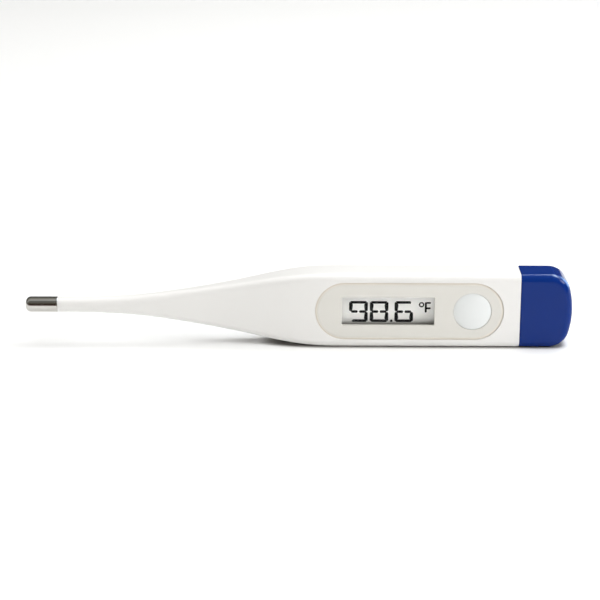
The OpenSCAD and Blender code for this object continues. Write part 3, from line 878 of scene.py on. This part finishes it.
def wire(name, side, mat):
    p = [(q[0], q[1] + side * q[3], q[2] + side * q[4]) for q in LEAD_PTS]
    c = []
    for i in range(len(p) - 1):
        steps = 2 if i < 4 else 6
        for k in range(steps):
            f = k / steps
            c.append(Vector(p[i]).lerp(Vector(p[i + 1]), f) if i < 4 else catmull(p, i, f))
    c.append(Vector(p[-1]))
    rings, side_dir = [], Vector((0, 1, 0))
    for i, v in enumerate(c):
        t = (c[min(i + 1, len(c) - 1)] - c[max(i - 1, 0)]).normalized()
        side_dir = (side_dir - t * side_dir.dot(t)).normalized()
        up = t.cross(side_dir)
        rings.append([P(*(v + 0.125 * (math.cos(math.tau * k / 12) * side_dir + math.sin(math.tau * k / 12) * up))) for k in range(12)])
    verts, faces = skin(rings)
    o = new_obj(name, verts, faces, mat, sharp=70)
    tidy(o, 70)
    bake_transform(o)
    return o


M["enamel"] = plastic("enamelled_copper", lin(168, 78, 38), rough=0.16, vary=0.12, peel=0.0003, peel_mm=0.2, spec=0.6, coat=0.5)
M["enamel2"] = plastic("enamelled_copper_plain", lin(186, 116, 58), rough=0.16, vary=0.12, peel=0.0003, peel_mm=0.2, spec=0.6, coat=0.5)
lead_a = wire("thermistor_lead_a", 1, M["enamel"])
lead_b = wire("thermistor_lead_b", -1, M["enamel2"])
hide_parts("thermistor_leads")

# ------------------------------------------------------------- snap dome
b0, b1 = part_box("switch_snap_dome")
rad, rise = (b1[0] - b0[0]) / 2 / MM, (b1[1] - b0[1]) / MM
outer = [(rad * k / 20, -rise * (1 - 0.96 * (k / 20) ** 2) + 0.005) for k in range(21)]
inner = [(max(r - 0.01, 0.0), y + 0.07) for r, y in outer[:-1]] + [(rad - 0.06, 0.0)]
outer[-1] = (rad, outer[-1][1])
outer.append((rad - 0.02, 0.0))
dome = lathe("snap_dome", outer + inner[::-1][0:0] + inner[::-1], M["spring"], (BUTTON_C, -1.1, 0), axis="Y", steps=64)
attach(dome, "tray")
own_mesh(dome)
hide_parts("switch_snap_dome")

# ------------------------------------------- finer finishes for the insides
def board():
    """Green mask over copper tracks, fibreglass core on the edges."""
    m = Mat("board_laminate")
    sep = m.nt.nodes.new("ShaderNodeSeparateXYZ")
    geo = m.nt.nodes.new("ShaderNodeNewGeometry")
    m.link(geo.outputs["Normal"], sep.inputs[0])
    face = m.math("GREATER_THAN", m.math("ABSOLUTE", sep.outputs["Y"]), 0.7)
    vec = m.coords((1 / (1.1 * MM), 0.0, 1 / (1.1 * MM)))
    v = m.nt.nodes.new("ShaderNodeTexVoronoi")
    v.distance = "CHEBYCHEV"
    v.inputs["Scale"].default_value = 1.0
    v.inputs["Randomness"].default_value = 0.6
    m.link(vec, v.inputs["Vector"])
    rings = m.math("PINGPONG", v.outputs["Distance"], 0.17)
    track = m.ramp(rings, [(0.075, 0.0), (0.095, 1.0)])
    via = m.ramp(v.outputs["Distance"], [(0.10, 1.0), (0.13, 0.0)])
    hole = m.ramp(v.outputs["Distance"], [(0.04, 1.0), (0.06, 0.0)])
    weave = m.noise(0.12, 2, 0.5, stretch=(1, 1, 0.3))
    mask = m.mix(track, lin(12, 74, 44), lin(30, 112, 66))
    mask = m.mix(m.math("MULTIPLY", weave, 0.25), mask, lin(8, 56, 34))
    mask = m.mix(via, mask, lin(214, 184, 110))
    mask = m.mix(hole, mask, (0.01, 0.01, 0.01))
    edge = m.mix(weave, lin(150, 148, 96), lin(186, 182, 128))
    m.put("Base Color", m.mix(face, edge, mask))
    m.put("Metallic", m.math("MULTIPLY", m.math("SUBTRACT", via, hole), face))
    m.put("Roughness", m.math("MULTIPLY_ADD", weave, 0.12, 0.26))
    m.put("Normal", m.bump(track, 0.012, 0.6))
    return m.m


def turned(name, rgb, rough=0.2, centre=(0, 0), rings_mm=0.09, depth=0.0006):
    """Metal disc with fine turning rings round an axis along Y."""
    m = Mat(name)
    sep = m.nt.nodes.new("ShaderNodeSeparateXYZ")
    m.link(m.tc.outputs["Object"], sep.inputs[0])
    dx = m.math("SUBTRACT", sep.outputs["X"], centre[0])
    dz = m.math("SUBTRACT", sep.outputs["Z"], centre[1])
    r = m.math("SQRT", m.math("ADD", m.math("MULTIPLY", dx, dx), m.math("MULTIPLY", dz, dz)))
    rr_ = m.math("SINE", m.math("MULTIPLY", r, math.tau / (rings_mm * MM)))
    cloud = m.noise(1.4, 3, 0.6)
    spot = m.ramp(m.noise(0.5, 4, 0.7), [(0.60, 0.0), (0.75, 1.0)])
    col = m.mix(cloud, tuple(c * 0.93 for c in rgb), rgb)
    col = m.mix(m.math("MULTIPLY", spot, 0.25), col, tuple(c * 0.6 for c in rgb))
    m.put("Base Color", col).put("Metallic", 1.0)
    m.put("Roughness", m.math("MULTIPLY_ADD", cloud, 0.12, rough - 0.04))
    m.put("Normal", m.bump(rr_, depth))
    return m.m


def node_xz(name):
    b0_, b1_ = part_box(name)
    o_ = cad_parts[name]
    w = o_.matrix_world.inverted() @ Vector(((b0_[0] + b1_[0]) / 2, (b0_[1] + b1_[1]) / 2, (b0_[2] + b1_[2]) / 2))
    return (w.x, w.z)


bpy.context.view_layer.update()
M["board"] = board()
M["cellcan"] = turned("cell_steel", lin(200, 199, 196), 0.2, node_xz("cell_can"))
M["cellneg"] = turned("cell_negative_steel", lin(212, 211, 208), 0.16, node_xz("cell_negative_cap"), 0.12)
M["buzz"] = turned("buzzer_brass", lin(212, 174, 92), 0.24, node_xz("buzzer_plate"), 0.07)
M["epoxy"] = plastic("black_epoxy", lin(17, 17, 18), rough=0.22, vary=0.2, peel=0.004, peel_mm=1.4, fine=0.0008, spec=0.6)
M["potting"] = plastic("tip_epoxy", lin(62, 52, 44), rough=0.3, vary=0.15, peel=0.003, peel_mm=0.6)
M["bead"] = plastic("bead_coating", lin(22, 22, 24), rough=0.18, vary=0.2, peel=0.002, peel_mm=0.4, spec=0.6)
M["ceramic"] = plastic("chip_ceramic", lin(150, 118, 84), rough=0.4, vary=0.12, fine=0.001)
M["piezo"] = plastic("piezo_silver", lin(208, 206, 200), rough=0.45, vary=0.08, peel=0.0015, peel_mm=0.25, fine=0.001)
M["zebra"] = plastic("zebra_rubber", lin(52, 52, 56), rough=0.6, vary=0.2, fine=0.002)
M["gasket"] = plastic("gasket_nylon", lin(54, 92, 150), rough=0.4, vary=0.05)
M["reflector"] = metal("reflector_film", lin(196, 199, 192), rough=0.38, along="Z", tint=0.04)


# --------------------------------------------------- plain looks for the rest
LOOK = {"tip_potting": "potting", "thermistor_bead": "bead", "inner_tray": "tray",
        "circuit_board": "board", "chip_encapsulant": "epoxy", "chip_components": "ceramic", "switch_base": "black",
        "switch_plunger": "red", "lcd_frame": "lcdframe", "lcd_rear_reflector": "reflector",
        "zebra_connector": "zebra", "buzzer_plate": "buzz", "buzzer_ceramic": "piezo", "buzzer_contacts": "bronze",
        "positive_contact": "spring", "negative_contact": "spring", "cell_can": "cellcan", "cell_gasket": "gasket",
        "cell_negative_cap": "cellneg", "cap_seal": "rubber"}
EDGE = {"lcd_frame": 0.10, "switch_base": 0.08, "switch_plunger": 0.10, "cell_can": 0.07,
        "cell_negative_cap": 0.09, "cap_seal": 0.04, "chip_components": 0.05, "positive_contact": 0.03,
        "negative_contact": 0.03, "buzzer_contacts": 0.03, "circuit_board": 0.04, "buzzer_plate": 0.03}
for node, key in LOOK.items():
    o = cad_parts.get(node)
    if o is None:
        continue
    o.data.materials.clear()
    o.data.materials.append(M[key])
    for p_ in o.data.polygons:
        p_.material_index = 0
    if node in EDGE:
        wd = o.modifiers.new("join_corners", "WELD")
        wd.merge_threshold = 0.0005 * MM
        bv = o.modifiers.new("soft_edges", "BEVEL")
        bv.width = EDGE[node] * MM
        bv.segments = 2
        bv.limit_method = "ANGLE"
        bv.angle_limit = math.radians(40)
        bv.harden_normals = False
        wn = o.modifiers.new("even_shading", "WEIGHTED_NORMAL")
        wn.keep_sharp = True

# ------------------------------------------------------- floor and lights
fm = Mat("floor_paper")
# Painted contact shadow: ambient occlusion darkens the floor's colour close to where the thermometer rests on it.
ao = fm.nt.nodes.new("ShaderNodeAmbientOcclusion")
ao.samples = 12
ao.inputs["Distance"].default_value = 2.2 * MM
painted_contact_shadow = fm.ramp(ao.outputs["AO"], [(0.40, 0.24), (0.56, 0.60), (0.72, 0.88), (0.88, 0.99), (1.0, 1.0)])
paper = fm.mix(fm.noise(30, 3), (0.965, 0.965, 0.965), (0.975, 0.975, 0.975))
fm.put("Base Color", fm.mix(painted_contact_shadow, (0.075, 0.055, 0.042), paper)).put("Roughness", 0.7).put("Specular IOR Level", 0.1)
fm.put("Normal", fm.bump(fm.noise(0.4, 3), 0.0005))
soft = fm.nt.nodes.new("ShaderNodeBsdfDiffuse")
soft.inputs["Color"].default_value = (0.925, 0.925, 0.92, 1)
lpf = fm.nt.nodes.new("ShaderNodeLightPath")
mf = fm.nt.nodes.new("ShaderNodeMixShader")
fm.link(lpf.outputs["Is Diffuse Ray"], mf.inputs[0])
fm.link(fm.b.outputs[0], mf.inputs[1])
fm.link(soft.outputs[0], mf.inputs[2])
fm.link(mf.outputs[0], fm.out.inputs[0])
me = bpy.data.meshes.new("floor")
S = 3.0
me.from_pydata([(-S, -S, 0), (S, -S, 0), (S, S, 0), (-S, S, 0)], [], [(0, 1, 2, 3)])
me.materials.append(fm.m)
floor = bpy.data.objects.new("floor", me)
bpy.context.scene.collection.objects.link(floor)


def area(name, loc, aim, size, power, size_y=None, color=(1, 1, 1), spec=True, shadow=True):
    d = bpy.data.lights.new(name, "AREA")
    d.shape = "RECTANGLE" if size_y else "SQUARE"
    d.size = size
    if size_y:
        d.size_y = size_y
    d.energy = power
    d.color = color
    o = bpy.data.objects.new(name, d)
    bpy.context.scene.collection.objects.link(o)
    v = Vector(loc) - Vector(aim)
    o.matrix_world = Matrix.Translation(loc) @ v.to_track_quat("Z", "Y").to_matrix().to_4x4()
    o.visible_glossy = spec
    d.use_shadow = shadow
    return o


area("key", (0.0, 0.13, 1.28), (0, 0, 0), 1.1, 10.7, 1.6, spec=False)
area("ridge_strip", (0.275, 0.22, 0.50), (0.06, 0, 0.01), 0.40, 1.2, 0.16)
glint = area("ridge_glint", (0.275, 0.13, 0.50), (0.06, 0, 0.01), 0.42, 5.6, 0.19, color=(0.80, 1.02, 1.2))
glint.visible_diffuse = False
glow = area("side_glow", (0.62, 0.30, 0.24), (0.06, 0, 0.01), 0.60, 10.0, 0.44, color=(0.66, 1.0, 1.3))
glow.visible_diffuse = False
area("right_box", (0.60, -0.27, 0.36), (0.04, 0, 0.01), 0.26, 3.15, 0.26)
area("front_fill", (0.10, -1.1, 0.95), (0, 0, 0.01), 0.9, 1.9, 0.7, spec=False)

# A dark card on the table in front, seen only in reflections.
cm = Mat("dark_card")
cm.put("Base Color", cm.mix(cm.noise(20), (0.095, 0.024, 0.008), (0.115, 0.032, 0.012))).put("Roughness", 0.8).put("Specular IOR Level", 0.0)
ce = bpy.data.meshes.new("card")
ce.from_pydata([(-0.5, -0.8, 0.0004), (0.5, -0.8, 0.0004), (0.5, -0.062, 0.0004), (-0.5, -0.062, 0.0004)], [], [(0, 1, 2, 3)])
ce.materials.append(cm.m)
card = bpy.data.objects.new("card", ce)
bpy.context.scene.collection.objects.link(card)
card.visible_camera = card.visible_diffuse = card.visible_shadow = card.visible_transmission = False

# Dark surroundings with a soft band overhead, as in a studio; white backdrop.
w = bpy.data.worlds.new("studio")
bpy.context.scene.world = w
w.use_nodes = True
nt = w.node_tree
nt.nodes.clear()
wo = nt.nodes.new("ShaderNodeOutputWorld")
bg = nt.nodes.new("ShaderNodeBackground")
bg2 = nt.nodes.new("ShaderNodeBackground")
lp = nt.nodes.new("ShaderNodeLightPath")
mxw = nt.nodes.new("ShaderNodeMixShader")
tcw = nt.nodes.new("ShaderNodeTexCoord")
sp = nt.nodes.new("ShaderNodeSeparateXYZ")
neg = nt.nodes.new("ShaderNodeMath")
neg.operation = "MULTIPLY"
neg.inputs[1].default_value = -1
at = nt.nodes.new("ShaderNodeMath")
at.operation = "ARCTAN2"
dv = nt.nodes.new("ShaderNodeMath")
dv.operation = "DIVIDE"
dv.inputs[1].default_value = math.pi
rp = nt.nodes.new("ShaderNodeValToRGB")
nt.links.new(tcw.outputs["Generated"], sp.inputs[0])
nt.links.new(sp.outputs["Y"], neg.inputs[0])
nt.links.new(sp.outputs["Z"], at.inputs[0])
nt.links.new(neg.outputs[0], at.inputs[1])
nt.links.new(at.outputs[0], dv.inputs[0])
nt.links.new(dv.outputs[0], rp.inputs["Fac"])
el_ = rp.color_ramp.elements
while len(el_) > 1:
    el_.remove(el_[-1])
stops = [(0.0, (0.040, 0.026, 0.018)), (0.11, (0.050, 0.036, 0.026)), (0.19, (0.15, 0.14, 0.12)), (0.36, (0.18, 0.18, 0.17)), (0.42, (0.56, 0.57, 0.54)),
         (0.47, (0.56, 0.57, 0.54)), (0.55, (0.32, 0.31, 0.29)), (0.67, (0.23, 0.225, 0.20)), (0.80, (0.07, 0.07, 0.065)), (1.0, (0.06, 0.06, 0.06))]
el_[0].position, el_[0].color = stops[0][0], stops[0][1] + (1,)
for p_, c_ in stops[1:]:
    q_ = el_.new(p_)
    q_.color = c_ + (1,)
nt.links.new(rp.outputs[0], bg.inputs["Color"])
bg.inputs["Strength"].default_value = 1.0
bg2.inputs["Color"].default_value = (1, 1, 1, 1)
bg2.inputs["Strength"].default_value = 1.05
nt.links.new(lp.outputs["Is Camera Ray"], mxw.inputs[0])
nt.links.new(bg.outputs[0], mxw.inputs[1])
nt.links.new(bg2.outputs[0], mxw.inputs[2])
nt.links.new(mxw.outputs[0], wo.inputs[0])
vs = bpy.context.scene.view_settings
vs.view_transform, vs.look, vs.exposure, vs.gamma = "Standard", "None", 0.0, 1.0
